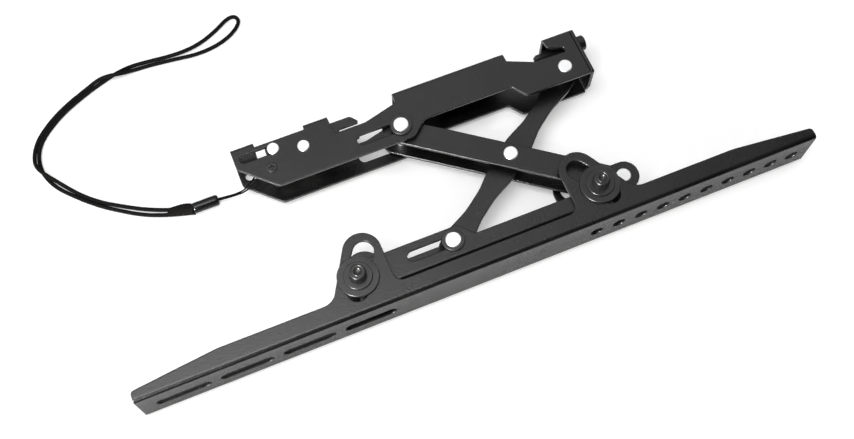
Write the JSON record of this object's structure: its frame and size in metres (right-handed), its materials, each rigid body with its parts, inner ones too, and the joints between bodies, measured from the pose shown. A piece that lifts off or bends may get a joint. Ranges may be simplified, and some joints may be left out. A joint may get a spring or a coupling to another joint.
{
  "type": "tilting wall bracket arm",
  "caption": "One arm of a tilting, pull-out television wall bracket: wall channel with hook and spring latch, scissor links, tilt bracket and slotted rail, with a pull cord on the latch.",
  "frame": {"origin": "lying on its side as in the picture: bottom centre of the bounding box of the arm, without the pull cord", "axes": "+X up the arm as it hangs, towards its hook, +Y towards the wall, +Z across the arm's width"},
  "size_m": [0.4544, 0.2426, 0.0434],
  "materials": {
    "black_powder_coat": "satin, fine texture",
    "bright_zinc": "bright zinc plate",
    "black_fastener": "black zinc, semi-gloss",
    "black_nylon": "matte",
    "spring_steel": "plain wire",
    "black_cord": "braided",
    "black_sleeve": "matte"
  },
  "bodies": {
    "wall_channel": {"wall_channel": "black_powder_coat", "wall_pivot_rivet": "bright_zinc", "near_wall_pivot_spacer": "black_nylon", "far_wall_pivot_spacer": "black_nylon", "latch_guide_rivet": "bright_zinc", "spring_post": "black_fastener", "latch_spring": "spring_steel"},
    "inner_link": {"inner_link": "black_powder_coat", "tilt_slide_rivet": "bright_zinc", "near_tilt_slide_washer": "black_nylon", "near_tilt_slide_spacer": "black_nylon", "far_tilt_slide_washer": "black_nylon", "far_tilt_slide_spacer": "black_nylon"},
    "outer_link": {"outer_link": "black_powder_coat", "centre_rivet": "bright_zinc", "near_centre_spacer": "black_nylon", "far_centre_spacer": "black_nylon", "wall_slide_rivet": "bright_zinc", "near_wall_slide_washer": "black_nylon", "near_wall_slide_spacer": "black_nylon", "far_wall_slide_washer": "black_nylon", "far_wall_slide_spacer": "black_nylon"},
    "tilt_bracket": {"tilt_bracket": "black_powder_coat", "tilt_pivot_rivet": "bright_zinc", "near_tilt_pivot_spacer": "black_nylon", "far_tilt_pivot_spacer": "black_nylon", "lower_tilt_bolt": "black_fastener", "lower_clamp_washer": "black_fastener", "lower_bolt_collar": "black_fastener", "lower_slot_bush": "black_fastener", "lower_clinch_nut": "black_fastener", "lower_guide_pin": "black_fastener", "upper_tilt_bolt": "black_fastener", "upper_clamp_washer": "black_fastener", "upper_bolt_collar": "black_fastener", "upper_slot_bush": "black_fastener", "upper_clinch_nut": "black_fastener", "upper_guide_pin": "black_fastener"},
    "tv_rail": {"tv_rail": "black_powder_coat"},
    "latch": {"latch_plate": "black_powder_coat", "latch_pin": "bright_zinc", "lanyard_loop": "black_cord", "lanyard_sleeve": "black_sleeve", "lanyard_strap": "black_cord"},
    "height_screw": {"height_screw": "black_fastener"}
  },
  "joints": [
    {"name": "fold", "type": "hinge", "parent": "wall_channel", "child": "inner_link", "pos_m": [0.09625, 0.0407, 0.018], "axis": [0, 0, 1], "range_deg": [-26.4, 0]},
    {"name": "scissor", "type": "hinge", "parent": "inner_link", "child": "outer_link", "pos_m": [0.04025, -0.0006, 0.018], "axis": [0, 0, 1], "range_deg": [0, 52.8]},
    {"name": "bracket_swing", "type": "hinge", "parent": "outer_link", "child": "tilt_bracket", "pos_m": [0.09625, -0.0419, 0.018], "axis": [0, 0, 1], "range_deg": [-26.4, 0]},
    {"name": "tilt", "type": "hinge", "parent": "tilt_bracket", "child": "tv_rail", "pos_m": [0.00155, -0.0807, 0.018], "axis": [0, 0, 1], "range_deg": [-5.5, 5.5]},
    {"name": "latch", "type": "slide", "parent": "wall_channel", "child": "latch", "axis": [-1, 0, 0], "range_m": [0, 0.018], "stiffness_N_per_m": 400, "springref_m": -0.002, "deforming": ["latch_spring"]},
    {"name": "height_adjust", "type": "slide", "parent": "wall_channel", "child": "height_screw", "axis": [1, 0, 0], "range_m": [-0.002, 0.008]}
  ],
  "couplings": [
    {"joint": "scissor", "follows": "fold", "ratio": -2},
    {"joint": "bracket_swing", "follows": "fold", "ratio": 1}
  ]
}
